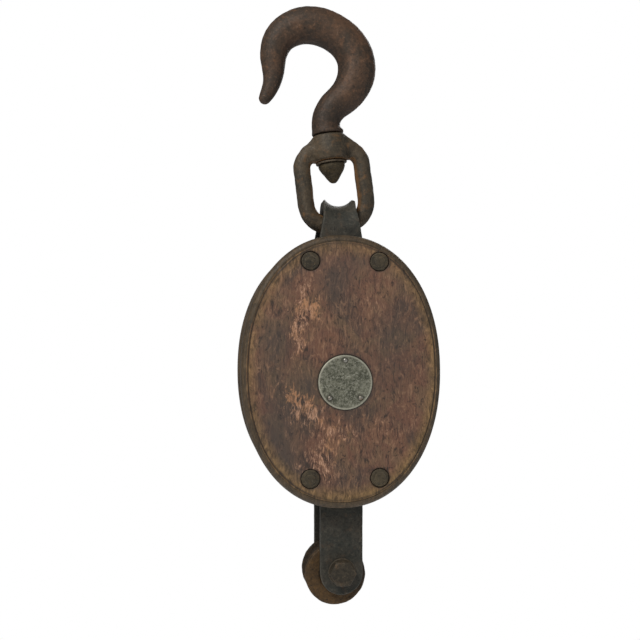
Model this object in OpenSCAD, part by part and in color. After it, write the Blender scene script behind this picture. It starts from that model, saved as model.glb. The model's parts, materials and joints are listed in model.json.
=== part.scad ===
// Wood-shell tackle block, single sheave, with an inside iron strap, a swivel hook and a becket.
// Millimetres, +Z up, hanging. The origin is the hook's seat, where the bowl bears on what holds it.
// The block's front faces -Y and the sheave pin runs along Y.

/* [Frame] */
// Height from the hook's seat down to the sheave pin
pin_drop = 271.5; // [265:0.5:275]
// How far the block's centre line stands to the right of the seat
centre_line_x = 23.4; // [22:0.1:25]
// Lean of the hook and eye to the left
lean = 7; // [5:0.5:8]

/* [Shell] */
// Width of a cheek
cheek_w = 153.5; // [145:0.5:156]
// Height of a cheek
cheek_h = 208; // [204:1:212]
// Thickness of a cheek
cheek_t = 24; // [22:0.5:26]
// Width of the swallow between the two cheeks
swallow_w = 35; // [34:0.5:37]
// How far the pin is below the middle of the cheek
pin_below_middle = 8.4; // [6:0.2:10]
// How far the cheek's middle is to the left of the pin
cheek_shift = 2; // [0:0.5:5]
// Roundness of the oval: 2 is an ellipse, more is squarer
oval_power = 2.15; // [2:0.05:2.4]
// Rounding of the cheek's outer edge
edge_r = 5.5; // [4:0.5:7]

/* [Rivets] */
// Half of the distance between the rivets, across
rivet_x = 26.5; // [25:0.5:28]
// Height of the upper rivets above the pin
upper_rivet_z = 92; // [90:0.5:94]
// Depth of the lower rivets below the pin
lower_rivet_z = 72.5; // [70:0.5:74]
// Radius of a through rivet
rivet_r = 4; // [3.5:0.25:4.5]
// Radius of a rivet's head and of its burr
burr_r = 7.1; // [6.5:0.1:7.5]

/* [Strap] */
// Width of the strap
strap_w = 33.5; // [32:0.5:35]
// Width of the strap where it passes through the eye
strap_neck_w = 25.6; // [25:0.1:26]
// Thickness of the strap
strap_t = 7; // [6.5:0.5:7]
// Clear gap between the strap's two legs
strap_gap = 30; // [30:0.5:31]
// Depth of the becket bolt below the pin
becket_z = 147; // [144:1:150]

/* [Sheave] */
// Radius of the sheave at its rim
sheave_r = 60.3; // [58:0.1:61]
// Width of the sheave
sheave_w = 28; // [27:0.5:28]
// Radius of the rope the grooves are cut for
rope_r = 9.5; // [9:0.5:9.5]
// Radius of the sheave pin
pin_r = 7.94; // [7.9:0.02:8]
// Radius of a roller
roller_r = 4; // [3.9:0.05:4]

/* [Spool] */
// Radius of the spool's flanges
spool_r = 24; // [23:0.5:24.5]
// Length of the spool
spool_w = 29; // [28:0.5:29]
// Radius of the spool's bore
spool_bore_r = 11.8; // [11.6:0.1:12]
// How far the loose spool lies to the left of the bolt, and below it
spool_offset = 3.75; // [3.5:0.05:3.8]

/* [Swivel eye] */
// Radius of the eye's round bar
bar_r = 7.2; // [7:0.1:7.3]
// Half of the distance between the middles of the eye's two legs
leg_x = 24.5; // [24.4:0.1:24.6]
// Radius of the eye's round bottom, along the middle of the bar
bottom_r = 31; // [31:0.1:31.4]
// Radius of the eye's lower corners, along the middle of the bar
corner_r = 18; // [17.5:0.1:18.2]
// Radius of the eye's upper corners, along the middle of the bar
shoulder_r = 12; // [11:0.5:13]
// Radius of the hook's shank
shank_r = 8; // [7.5:0.25:8]

/* [Hidden] */
$fn = 64;

// Clearances
gap = 0.3;
fit = 0.05;
flush = 0.1;
bolt_play = 0.15;
through = 1;

// Across the block, counted from its middle plane
inner_y = swallow_w / 2;
outer_y = inner_y + cheek_t;
strap_in_y = strap_gap / 2;
strap_out_y = strap_in_y + strap_t;
let_in_y = strap_out_y + flush;

// Oval outline of the shell
oval_points = 96;

// Pin plates
plate_r = 20.8;
plate_t = 3;
plate_recess = 2.6;
front_proud = plate_t - plate_recess;
plate_bevel = 1;
nail_circle_r = 16.7;
nail_angles = [90, 225, 315];
nail_head_r = 2.3;
nail_head_t = 0.9;
nail_r = 1;
nail_len = 14;

// Rivets
burr_recess = 2.2;
burr_t = 1.7;
rivet_dome = 0.9;

// Saddle of the strap: a U section turned about an axis parallel to the pin
saddle_z = 153.3;
saddle_under_r = 20.3;
bend_r = strap_gap / 2;
bend_from_axis = saddle_under_r + bend_r;
ear_z = 145.6;
neck_low_z = 113;
neck_high_z = 136;
ear_round = 2.2;
strap_end_r = strap_w / 2;
strap_end_z = -becket_z - 1.5;
leg_hidden = 14;

// Becket
bolt_r = 6.35;
bolt_af = 18.6;
bolt_head_t = 8;
bolt_chamfer = 4.5;
nut_af = 19;
nut_t = 9;
washer_r = 10.6;
washer_t = 2;
spool_edge = 1.2;
spool_bore_edge = 0.8;
bolt_end_y = strap_out_y + washer_t + nut_t + 2;

// Spacers
spacer_half_w = 38;
upper_spacer_r = 76;
lower_spacer_r = 64;
spacer_inset = 1.5;

// Sheave, its bush and the rollers
groove_play = 0.7;
groove_bottom_r = 51.5;
hub_r = 27;
web_half_t = 8;
web_in_r = 31;
web_out_r = 45;
rim_slope = 3;
rim_step = 2;
rim_edge = 1.5;
cover_r = 24;
cover_t = 2;
bush_r = 20;
bush_half_w = sheave_w / 2 - cover_t;
rollers = 6;
pitch_r = pin_r + fit + roller_r;
race_r = pitch_r + roller_r + fit;
bush_rivet_circle_r = 22;
bush_rivet_r = 1.3;
ring_t = 1.6;
ring_out_y = bush_half_w - gap;
ring_in_y = ring_out_y - ring_t;
roller_half_w = ring_in_y - gap;
journal_r = 1.5;
journal_play = 0.06;
ring_play = 0.5;
stay_r = 1.2;

// Eye, in its own frame: origin in the middle of its round bottom, z along the hook's shank
eye_x = -2.4;
eye_z = 154.2;
corner_x = leg_x - corner_r;
corner_z = -sqrt(pow(bottom_r - corner_r, 2) - pow(corner_x, 2));
corner_a = atan2(corner_x, -corner_z);
shoulder_z = 18;
shoulder_a = 50;
shoulder_len = 15;
arc_steps = 8;
boss_low_z = 22;
boss_top_z = 43.5;
bridge_half_t = 6;
bridge_right = [[12.4, 42.6], [26.6, 30.2], [28.6, 26], [21, 22.6]];

// Hook, in the eye's frame: x, z and section radius at each station along its middle line
hook_stations = [
    [-0.9, 47, 12], [-0.7, 53, 11.8], [1.9, 60, 12], [7.6, 66.6, 12.7],
    [15.8, 72.4, 13.6], [23.8, 80.2, 14.8], [29.3, 91, 15.7], [29.8, 105, 15.6],
    [22.6, 119.2, 15.4], [9.4, 129.6, 15.3], [-5.8, 134, 15], [-20, 131.5, 14.2],
    [-30.4, 124, 13], [-36, 112.5, 11.2], [-37.6, 101, 9.5], [-39.6, 91, 7.8],
    [-43.4, 83.4, 6.5], [-47.2, 78, 5.3]];
hook_steps = 3;
bar_sides = 20;
tip_rings = 3;
collar_r = 13.2;
collar_low_z = boss_top_z + gap;
collar_top_z = 47.8;
nut_top_z = 20.2;
nut_tip_z = 4.1;
nut_r = 11;
tail_r = 5.5;
shank_end_z = 13;
washer_low_z = nut_top_z + flush;
shank_washer_r = 12.6;
neck_len = collar_low_z - washer_low_z;

iron = "#4a4038";
rust = "#5e4230";
wood = "#6d4c3b";
zinc = "#7d8578";
steel = "#77756f";

// ---- Helpers ----

module at_block() translate([centre_line_x, 0, -pin_drop]) children();

module at_eye() at_block() translate([eye_x, 0, eye_z]) rotate([0, -lean, 0]) children();

module at_becket() at_block() translate([0, 0, -becket_z]) children();

// Rod along Y from y0 to y1
module y_rod(r, y0, y1) translate([0, y0, 0]) rotate([-90, 0, 0]) cylinder(r = r, h = y1 - y0);

// Six-sided bar along Y, a width across the flats
module y_hex(af, y0, y1) translate([0, y0, 0]) rotate([-90, 0, 0])
    cylinder(d = af / cos(30), h = y1 - y0, $fn = 6);

// Flat ring along Y
module y_ring(r_in, r_out, y0, y1) difference() {
    y_rod(r_out, y0, y1);
    y_rod(r_in, y0 - through, y1 + through);
}

// Profile (radius, y) turned about Y
module y_turn() rotate([-90, 0, 0]) rotate_extrude() children();

// Front outline (x, z) made solid from y0 to y1
module front_slab(y0, y1)
    translate([0, y1, 0]) rotate([90, 0, 0]) linear_extrude(y1 - y0) children();

function oval_radius(c, p) = sign(c) * pow(abs(c), 2 / p);

// Outline of the shell, shrunk by inset
module oval(inset = 0) translate([-cheek_shift, pin_below_middle]) polygon([
    for (i = [0 : oval_points - 1]) let (a = 360 * i / oval_points) [
        (cheek_w / 2 - inset) * oval_radius(cos(a), oval_power),
        (cheek_h / 2 - inset) * oval_radius(sin(a), oval_power)]]);

// One copy at each of the four rivets
module at_rivets() for (x = [-rivet_x, rivet_x], z = [upper_rivet_z, -lower_rivet_z])
    translate([x, 0, z]) children();

// One copy at each nail of a pin plate
module at_nails() for (a = nail_angles)
    translate([nail_circle_r * cos(a), 0, nail_circle_r * sin(a)]) children();

// ---- Shell ----

// A cheek on the +Y side
module cheek() difference() {
    hull() {
        front_slab(inner_y, outer_y - edge_r) oval();
        for (a = [30, 60, 90])
            front_slab(outer_y - edge_r, outer_y - edge_r * (1 - sin(a))) oval(edge_r * (1 - cos(a)));
    }
    translate([0, 0, -cheek_h]) front_slab(inner_y - through, let_in_y)
        translate([-strap_w / 2 - gap, 0]) square([strap_w + 2 * gap, 2 * cheek_h]);
    y_rod(pin_r + fit, inner_y, outer_y);
    y_rod(plate_r + fit, outer_y - plate_recess, outer_y + through);
    at_rivets() {
        y_rod(rivet_r + fit, inner_y - through, outer_y);
        y_rod(burr_r + gap, outer_y - burr_recess, outer_y + through);
    }
    at_nails() y_rod(nail_r + fit, outer_y - nail_len - plate_t, outer_y);
}

module front_cheek() color(wood) at_block() mirror([0, 1, 0]) cheek();

module rear_cheek() color(wood) at_block() cheek();

// A spacer block between the cheeks: up is 1 at the top and -1 at the bottom
module spacer(up, sheave_room) difference() {
    front_slab(-inner_y, inner_y) difference() {
        intersection() {
            oval(spacer_inset);
            translate([-spacer_half_w, up > 0 ? 0 : -cheek_h])
                square([2 * spacer_half_w, cheek_h]);
        }
        circle(r = sheave_room);
    }
    for (y = [strap_in_y - fit, -inner_y - through])
        translate([-strap_w / 2 - gap, y, -cheek_h])
            cube([strap_w + 2 * gap, inner_y - strap_in_y + fit + through, 2 * cheek_h]);
    at_rivets() y_rod(rivet_r + fit, -inner_y - through, inner_y + through);
}

module upper_spacer() color(wood) at_block() spacer(1, upper_spacer_r);

module lower_spacer() color(wood) at_block() spacer(-1, lower_spacer_r);

// ---- Rivets, burrs and pin plates ----

// Head at the rear, peened end at the front
module through_rivets() color(iron) at_block() at_rivets() {
    y_rod(rivet_r, -outer_y + burr_recess - burr_t, outer_y - burr_recess);
    y_rod(burr_r, outer_y - burr_recess, outer_y - gap);
    y_turn() polygon([
        [0, -outer_y + burr_recess - burr_t], [rivet_r, -outer_y + burr_recess - burr_t],
        [rivet_r, -outer_y + burr_recess - burr_t - rivet_dome / 3],
        [rivet_r * 0.7, -outer_y + burr_recess - burr_t - rivet_dome],
        [0, -outer_y + burr_recess - burr_t - rivet_dome]]);
}

module rivet_burrs() color(iron) at_block() at_rivets()
    y_ring(rivet_r + fit, burr_r, -outer_y + burr_recess - burr_t, -outer_y + burr_recess);

// A plate on the +Y side, standing proud of the cheek's face
module pin_plate(proud) difference() {
    y_turn() polygon([
        [0, outer_y - plate_recess], [plate_r, outer_y - plate_recess],
        [plate_r, outer_y + proud - plate_bevel], [plate_r - plate_bevel, outer_y + proud],
        [0, outer_y + proud]]);
    at_nails() y_rod(nail_r + fit, outer_y - plate_recess - through, outer_y + proud + through);
}

module front_pin_plate() color(zinc) at_block() mirror([0, 1, 0]) pin_plate(front_proud);

module rear_pin_plate() color(zinc) at_block() pin_plate(-flush);

// The nails of a plate on the +Y side, their heads ending at head_y
module plate_nails(head_y) at_nails() {
    y_rod(nail_r, head_y - nail_head_t - nail_len, head_y - nail_head_t);
    y_rod(nail_head_r, head_y - nail_head_t, head_y);
}

module front_plate_nails() color(steel) at_block() mirror([0, 1, 0])
    plate_nails(outer_y + front_proud + nail_head_t);

module rear_plate_nails() color(steel) at_block() at_nails()
    y_rod(nail_r, outer_y - nail_len, outer_y - flush);

module sheave_pin() color(steel) at_block()
    y_rod(pin_r, -outer_y + plate_recess + flush, outer_y - plate_recess - flush);

// ---- Strap ----

// The strap seen from the front
module strap_outline() {
    translate([0, strap_end_z]) circle(r = strap_end_r);
    polygon([
        [-strap_w / 2, strap_end_z], [strap_w / 2, strap_end_z],
        [strap_w / 2, neck_low_z], [strap_neck_w / 2, neck_high_z],
        [strap_neck_w / 2, ear_z - ear_round], [strap_neck_w / 2 - ear_round, ear_z],
        [-strap_neck_w / 2 + ear_round, ear_z], [-strap_neck_w / 2, ear_z - ear_round],
        [-strap_neck_w / 2, neck_high_z], [-strap_w / 2, neck_low_z]]);
}

// Section of the bend: distance from the saddle's axis, and y
module bend_section() {
    intersection() {
        translate([bend_from_axis, 0]) difference() {
            circle(r = bend_r + strap_t);
            circle(r = bend_r);
        }
        translate([0, -strap_out_y - through]) square([bend_from_axis, 2 * (strap_out_y + through)]);
    }
    for (y = [-strap_out_y, strap_in_y])
        translate([bend_from_axis, y]) square([leg_hidden, strap_t]);
}

module strap() color(iron) at_block() difference() {
    intersection() {
        front_slab(-strap_out_y - through, strap_out_y + through) strap_outline();
        union() {
            translate([0, 0, saddle_z]) y_turn() bend_section();
            for (y = [-strap_out_y, strap_in_y])
                translate([-strap_w, y, -becket_z - strap_w])
                    cube([2 * strap_w, strap_t, becket_z + strap_w + saddle_z - bend_from_axis]);
        }
    }
    y_rod(pin_r + fit, -strap_out_y - through, strap_out_y + through);
    translate([0, 0, -becket_z]) y_rod(bolt_r + bolt_play, -strap_out_y - through, strap_out_y + through);
}

// ---- Becket ----

module becket_bolt() color(iron) at_becket() {
    y_rod(bolt_r, -strap_out_y - washer_t, bolt_end_y);
    intersection() {
        y_hex(bolt_af, -strap_out_y - washer_t - bolt_head_t, -strap_out_y - washer_t);
        y_turn() polygon([
            [0, -strap_out_y - washer_t], [bolt_af, -strap_out_y - washer_t],
            [bolt_af, -strap_out_y - washer_t - bolt_head_t + bolt_chamfer],
            [bolt_af / 2 - 1, -strap_out_y - washer_t - bolt_head_t],
            [0, -strap_out_y - washer_t - bolt_head_t]]);
    }
}

module becket_washers() color(iron) at_becket() {
    y_ring(bolt_r + fit, washer_r, -strap_out_y - washer_t, -strap_out_y);
    y_ring(bolt_r + fit, washer_r, strap_out_y, strap_out_y + washer_t);
}

module becket_nut() color(iron) at_becket() difference() {
    y_hex(nut_af, strap_out_y + washer_t, strap_out_y + washer_t + nut_t);
    y_rod(bolt_r + fit, strap_out_y, bolt_end_y + through);
}

module becket_spool() color(rust) at_becket() translate([-spool_offset, 0, -spool_offset])
    y_turn() difference() {
        polygon([
            [spool_bore_r + spool_bore_edge, -spool_w / 2], [spool_r - spool_edge, -spool_w / 2],
            [spool_r, -spool_w / 2 + spool_edge], [spool_r, spool_w / 2 - spool_edge],
            [spool_r - spool_edge, spool_w / 2], [spool_bore_r + spool_bore_edge, spool_w / 2],
            [spool_bore_r, spool_w / 2 - spool_bore_edge],
            [spool_bore_r, -spool_w / 2 + spool_bore_edge]]);
        translate([spool_r, 0]) circle(r = rope_r);
    }

// ---- Sheave with its bush ----

module sheave() color(iron) at_block() difference() {
    y_turn() difference() {
        polygon([
            [bush_r, -bush_half_w], [cover_r, -bush_half_w], [cover_r, -sheave_w / 2],
            [hub_r, -sheave_w / 2], [web_in_r, -web_half_t], [web_out_r, -web_half_t],
            [web_out_r + rim_slope, -sheave_w / 2 + rim_step], [sheave_r - rim_edge, -sheave_w / 2],
            [sheave_r, -sheave_w / 2 + rim_edge], [sheave_r, sheave_w / 2 - rim_edge],
            [sheave_r - rim_edge, sheave_w / 2], [web_out_r + rim_slope, sheave_w / 2 - rim_step],
            [web_out_r, web_half_t], [web_in_r, web_half_t], [hub_r, sheave_w / 2],
            [cover_r, sheave_w / 2], [cover_r, bush_half_w], [bush_r, bush_half_w]]);
        translate([groove_bottom_r + rope_r + groove_play, 0]) circle(r = rope_r + groove_play);
    }
    at_bush_rivets() y_rod(bush_rivet_r, -sheave_w, sheave_w);
}

module at_bush_rivets() for (a = [0 : 120 : 240])
    translate([bush_rivet_circle_r * cos(a), 0, bush_rivet_circle_r * sin(a)]) children();

module bush_case() color(steel) at_block() y_ring(race_r, bush_r, -bush_half_w, bush_half_w);

// A cover on the +Y side
module bush_cover() difference() {
    y_ring(pin_r + gap, cover_r, bush_half_w, sheave_w / 2);
    at_bush_rivets() y_rod(bush_rivet_r, 0, sheave_w);
}

module front_bush_cover() color(steel) at_block() mirror([0, 1, 0]) bush_cover();

module rear_bush_cover() color(steel) at_block() bush_cover();

module bush_rivets() color(iron) at_block() at_bush_rivets()
    y_rod(bush_rivet_r, -sheave_w / 2, sheave_w / 2);

// ---- Roller cage ----

// A ring on the +Y side, with a hole for each journal and each stay
module cage_ring() difference() {
    y_ring(pin_r + ring_play, race_r - ring_play, ring_in_y, ring_out_y);
    for (i = [0 : rollers - 1]) {
        at_pitch(i) y_rod(journal_r + journal_play, 0, sheave_w);
        at_pitch(i + 0.5) y_rod(stay_r, 0, sheave_w);
    }
}

module at_pitch(i) rotate([0, -360 * i / rollers, 0]) translate([pitch_r, 0, 0]) children();

module front_cage_ring() color(steel) at_block() mirror([0, 1, 0]) cage_ring();

module rear_cage_ring() color(steel) at_block() cage_ring();

module cage_stays() color(steel) at_block() for (i = [0 : rollers - 1])
    at_pitch(i + 0.5) y_rod(stay_r, -ring_out_y, ring_out_y);

// Roller number i, counted from 0 at +X towards +Z
module roller(i) color(steel) at_block() at_pitch(i) {
    y_rod(roller_r, -roller_half_w, roller_half_w);
    y_rod(journal_r, -ring_out_y, ring_out_y);
}

module roller_1() roller(0);
module roller_2() roller(1);
module roller_3() roller(2);
module roller_4() roller(3);
module roller_5() roller(4);
module roller_6() roller(5);

// ---- Bent round bars ----

// A middle line is a list of stations [x, z, section radius] in the XZ plane
function heading(line, i) = let (
    a = line[max(0, i - 1)],
    b = line[min(len(line) - 1, i + 1)],
    d = [b[0] - a[0], b[1] - a[1]]) d / norm(d);

// Ring of points round [x, z], radius r, square to heading h
function ring(x, z, r, h) = [for (k = [0 : bar_sides - 1]) let (a = 360 * k / bar_sides)
    [x + r * cos(a) * h[1], r * sin(a), z - r * cos(a) * h[0]]];

// Rings that close the end of a line like a ball
function ball_rings(line) = let (e = line[len(line) - 1], h = heading(line, len(line) - 1)) [
    for (k = [1 : tip_rings]) let (a = 90 * k / (tip_rings + 0.5))
        ring(e[0] + h[0] * e[2] * sin(a), e[1] + h[1] * e[2] * sin(a), e[2] * cos(a), h)];

// Round bar along a line, with a flat start and a flat or ball end
module bar_along(line, ball = false) {
    n = bar_sides;
    rings = concat(
        [for (i = [0 : len(line) - 1]) ring(line[i][0], line[i][1], line[i][2], heading(line, i))],
        ball ? ball_rings(line) : []);
    last = (len(rings) - 1) * n;
    skin = [for (i = [0 : len(rings) - 2], k = [0 : n - 1]) let (
        p = i * n + k, q = i * n + (k + 1) % n) each [[p, q + n, q], [p, p + n, q + n]]];
    start_cap = [for (k = [0 : n - 1]) k];
    end_cap = [for (k = [n - 1 : -1 : 0]) last + k];
    polyhedron([for (r = rings) each r], concat([start_cap], skin, [end_cap]));
}

// ---- Swivel eye ----

// Stations on an arc about [x, z], angles from +X towards +Z, without its first point
function arc(x, z, r, from, to) = [
    for (k = [1 : arc_steps]) let (a = from + (to - from) * k / arc_steps)
        [x + r * cos(a), z + r * sin(a), bar_r]];

// The eye's right half, from the middle of its bottom up into the boss
right_line = concat(
    arc(0, 0, bottom_r, 270, 270 + corner_a),
    arc(corner_x, corner_z, corner_r, 270 + corner_a, 360),
    arc(leg_x - shoulder_r, shoulder_z, shoulder_r, -shoulder_a / arc_steps, shoulder_a),
    [[leg_x - shoulder_r + shoulder_r * cos(shoulder_a) - shoulder_len * sin(shoulder_a),
        shoulder_z + shoulder_r * sin(shoulder_a) + shoulder_len * cos(shoulder_a), bar_r]]);

eye_line = concat(
    [for (i = [len(right_line) - 1 : -1 : 0]) [-right_line[i][0], right_line[i][1], bar_r]],
    [[0, -bottom_r, bar_r]], right_line);

module swivel_eye() color(iron) at_eye() difference() {
    union() {
        bar_along(eye_line);
        rotate_extrude() polygon([
            [0, boss_low_z], [13.4, boss_low_z], [15.6, boss_low_z + 2], [16.4, boss_low_z + 6],
            [15.8, boss_low_z + 13], [14.4, boss_top_z - 3], [13.9, boss_top_z - 0.8],
            [13.1, boss_top_z], [0, boss_top_z]]);
        rotate([90, 0, 0]) linear_extrude(2 * bridge_half_t, center = true)
            polygon(concat(bridge_right, [for (i = [len(bridge_right) - 1 : -1 : 0])
                [-bridge_right[i][0], bridge_right[i][1]]]));
    }
    cylinder(r = shank_r + fit, h = 2 * boss_top_z);
}

// ---- Hook ----

// Point on a smooth curve through b and c, at t from 0 to 1
function curve(a, b, c, d, t) = 0.5 * (2 * b + (c - a) * t
    + (2 * a - 5 * b + 4 * c - d) * t * t + (3 * b - a - 3 * c + d) * t * t * t);

function station(i) = hook_stations[max(0, min(len(hook_stations) - 1, i))];

hook_line = [
    for (i = [0 : len(hook_stations) - 2], k = [0 : hook_steps - 1])
        curve(station(i - 1), station(i), station(i + 1), station(i + 2), k / hook_steps),
    station(len(hook_stations) - 1)];

module hook() color(rust) at_eye() {
    bar_along(hook_line, ball = true);
    translate([0, 0, washer_low_z]) cylinder(r = shank_r, h = neck_len + through);
    translate([0, 0, shank_end_z]) cylinder(r = tail_r, h = collar_low_z - shank_end_z);
    rotate_extrude() polygon([
        [0, collar_low_z], [collar_r - 0.8, collar_low_z], [collar_r, collar_low_z + 0.8],
        [collar_r, collar_top_z - 1], [collar_r - 1.2, collar_top_z], [0, collar_top_z]]);
}

module shank_washer() color(iron) at_eye() difference() {
    translate([0, 0, washer_low_z]) cylinder(r = shank_washer_r, h = boss_low_z - gap - washer_low_z);
    cylinder(r = shank_r + fit, h = boss_low_z);
}

module shank_nut() color(rust) at_eye() difference() {
    rotate_extrude() polygon([
        [0, nut_tip_z], [1.8, nut_tip_z + 0.3], [3.6, nut_tip_z + 1.6], [nut_r - 1.4, nut_tip_z + 10.6],
        [nut_r - 0.3, nut_tip_z + 12.8], [nut_r, nut_tip_z + 14], [nut_r, nut_top_z - 0.6],
        [nut_r - 0.6, nut_top_z], [0, nut_top_z]]);
    translate([0, 0, shank_end_z - gap]) cylinder(r = tail_r + fit, h = nut_top_z);
}

hook();
shank_washer();
shank_nut();
swivel_eye();
strap();
front_cheek();
rear_cheek();
upper_spacer();
lower_spacer();
through_rivets();
rivet_burrs();
sheave_pin();
front_pin_plate();
rear_pin_plate();
front_plate_nails();
rear_plate_nails();
becket_bolt();
becket_washers();
becket_nut();
becket_spool();
sheave();
bush_case();
front_bush_cover();
rear_bush_cover();
bush_rivets();
front_cage_ring();
rear_cage_ring();
cage_stays();
roller_1();
roller_2();
roller_3();
roller_4();
roller_5();
roller_6();
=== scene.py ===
"""Looks of a wood-shell tackle block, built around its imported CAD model. Metres, +Z up."""

import json
import math

import bmesh
import bpy
import numpy as np
from mathutils import Matrix, Vector, noise


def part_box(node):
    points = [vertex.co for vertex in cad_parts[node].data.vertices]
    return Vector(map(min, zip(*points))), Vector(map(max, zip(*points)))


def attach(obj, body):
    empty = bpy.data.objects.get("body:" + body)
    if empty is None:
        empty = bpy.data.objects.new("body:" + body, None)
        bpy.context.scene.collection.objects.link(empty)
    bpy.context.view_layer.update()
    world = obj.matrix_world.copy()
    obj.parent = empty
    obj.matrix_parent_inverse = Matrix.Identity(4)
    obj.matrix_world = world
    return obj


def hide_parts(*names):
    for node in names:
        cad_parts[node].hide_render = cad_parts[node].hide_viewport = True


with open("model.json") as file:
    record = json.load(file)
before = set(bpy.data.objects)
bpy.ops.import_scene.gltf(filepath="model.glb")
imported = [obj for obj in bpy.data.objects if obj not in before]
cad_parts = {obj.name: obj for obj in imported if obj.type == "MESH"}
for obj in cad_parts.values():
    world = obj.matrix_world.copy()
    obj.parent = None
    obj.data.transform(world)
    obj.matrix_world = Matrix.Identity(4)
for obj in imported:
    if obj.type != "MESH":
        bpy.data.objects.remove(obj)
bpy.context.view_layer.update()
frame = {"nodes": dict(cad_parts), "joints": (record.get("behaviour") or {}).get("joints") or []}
MM = 0.001

# ---------------------------------------------------------------- places, from the frame


def middle(node):
    """Middle of a CAD node's box."""
    low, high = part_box(node)
    return (low + high) / 2


PIN = middle("sheave_pin")
PIN.y = 0
SPOOL = middle("becket_spool")
CHEEK_LOW, CHEEK_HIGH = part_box("rear_cheek")
INNER_Y = CHEEK_LOW.y
OUTER_Y = CHEEK_HIGH.y
SHELL = Vector(((CHEEK_LOW.x + CHEEK_HIGH.x) / 2, 0, (CHEEK_LOW.z + CHEEK_HIGH.z) / 2))
HALF_W = (CHEEK_HIGH.x - CHEEK_LOW.x) / 2
HALF_H = (CHEEK_HIGH.z - CHEEK_LOW.z) / 2
OVAL_POWER = 2.15
STRAP_HALF_W = (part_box("strap")[1].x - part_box("strap")[0].x) / 2
BURRS_LOW, BURRS_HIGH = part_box("rivet_burrs")
BURR_R = 7.1 * MM
RIVET_X = (BURRS_LOW.x + BURR_R, BURRS_HIGH.x - BURR_R)
RIVET_Z = (BURRS_LOW.z + BURR_R, BURRS_HIGH.z - BURR_R)
PLATE_R = (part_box("front_pin_plate")[1].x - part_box("front_pin_plate")[0].x) / 2
NAIL_CIRCLE_R = 16.7 * MM
NAIL_ANGLES = (90, 225, 315)
RIVET_RECESS_MM = 2.2
PLATE_RECESS_MM = 2.6

# ---------------------------------------------------------------- camera

CAMERA_AZIMUTH = math.radians(-7.15)
CAMERA_ELEVATION = math.radians(-1.64)
CAMERA_DISTANCE = 0.7
CAMERA_TARGET = Vector((PIN.x - 0.0194, -OUTER_Y, PIN.z + 0.0472))

lens = bpy.data.cameras.new("camera")
lens.lens = 52.07
lens.sensor_width = 36
camera = bpy.data.objects.new("camera", lens)
bpy.context.scene.collection.objects.link(camera)
bpy.context.scene.camera = camera
away = Vector((
    math.sin(CAMERA_AZIMUTH) * math.cos(CAMERA_ELEVATION),
    -math.cos(CAMERA_AZIMUTH) * math.cos(CAMERA_ELEVATION),
    math.sin(CAMERA_ELEVATION)))
camera.location = CAMERA_TARGET + away * CAMERA_DISTANCE
camera.rotation_mode = "QUATERNION"
camera.rotation_quaternion = (-away).to_track_quat("-Z", "Y")

# ---------------------------------------------------------------- studio


def area_light(name, place, target, width, energy, tint):
    """Soft square light at a place, pointing at a target."""
    data = bpy.data.lights.new(name, "AREA")
    data.size = width
    data.energy = energy
    data.color = tint
    lamp = bpy.data.objects.new(name, data)
    bpy.context.scene.collection.objects.link(lamp)
    lamp.location = place
    lamp.rotation_mode = "QUATERNION"
    lamp.rotation_quaternion = (Vector(target) - Vector(place)).to_track_quat("-Z", "Y")


SKY_LIGHT = 0.22
FLOOR_GLOW = 0.35


def studio():
    """Pale floor well below the hanging block, a white sky and three soft lights."""
    scene = bpy.context.scene
    scene.view_settings.view_transform = "Standard"
    world = bpy.data.worlds.new("sky")
    scene.world = world
    world.use_nodes = True
    tree = world.node_tree
    sky = tree.nodes["Background"]
    sky.inputs["Color"].default_value = (1, 1, 1, 1)
    path = tree.nodes.new("ShaderNodeLightPath")
    level = tree.nodes.new("ShaderNodeMapRange")
    level.inputs["To Min"].default_value = SKY_LIGHT
    level.inputs["To Max"].default_value = 1.0
    tree.links.new(path.outputs["Is Camera Ray"], level.inputs["Value"])
    tree.links.new(level.outputs["Result"], sky.inputs["Strength"])
    half, far, height = 4, 1.7, -1.05
    data = bpy.data.meshes.new("floor")
    data.from_pydata(
        [(-half, -half, height), (half, -half, height), (half, far, height), (-half, far, height)],
        [], [(0, 1, 2, 3)])
    floor = bpy.data.objects.new("floor", data)
    scene.collection.objects.link(floor)
    paint = bpy.data.materials.new("floor_paper")
    paint.use_nodes = True
    shader = paint.node_tree.nodes["Principled BSDF"]
    shader.inputs["Base Color"].default_value = (0.9, 0.9, 0.9, 1)
    shader.inputs["Roughness"].default_value = 0.9
    shader.inputs["Emission Color"].default_value = (1, 1, 1, 1)
    shader.inputs["Emission Strength"].default_value = FLOOR_GLOW
    data.materials.append(paint)
    target = (0.01, 0, -0.2)
    area_light("key", (-0.7, -0.95, 0.75), target, 0.5, 22, (1, 0.97, 0.92))
    area_light("fill", (0.95, -0.9, -0.1), target, 1.0, 2, (0.96, 0.98, 1))
    area_light("back", (0.5, 1.3, 0.5), target, 0.9, 16, (1, 1, 1))


studio()

# ---------------------------------------------------------------- material nodes


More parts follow.
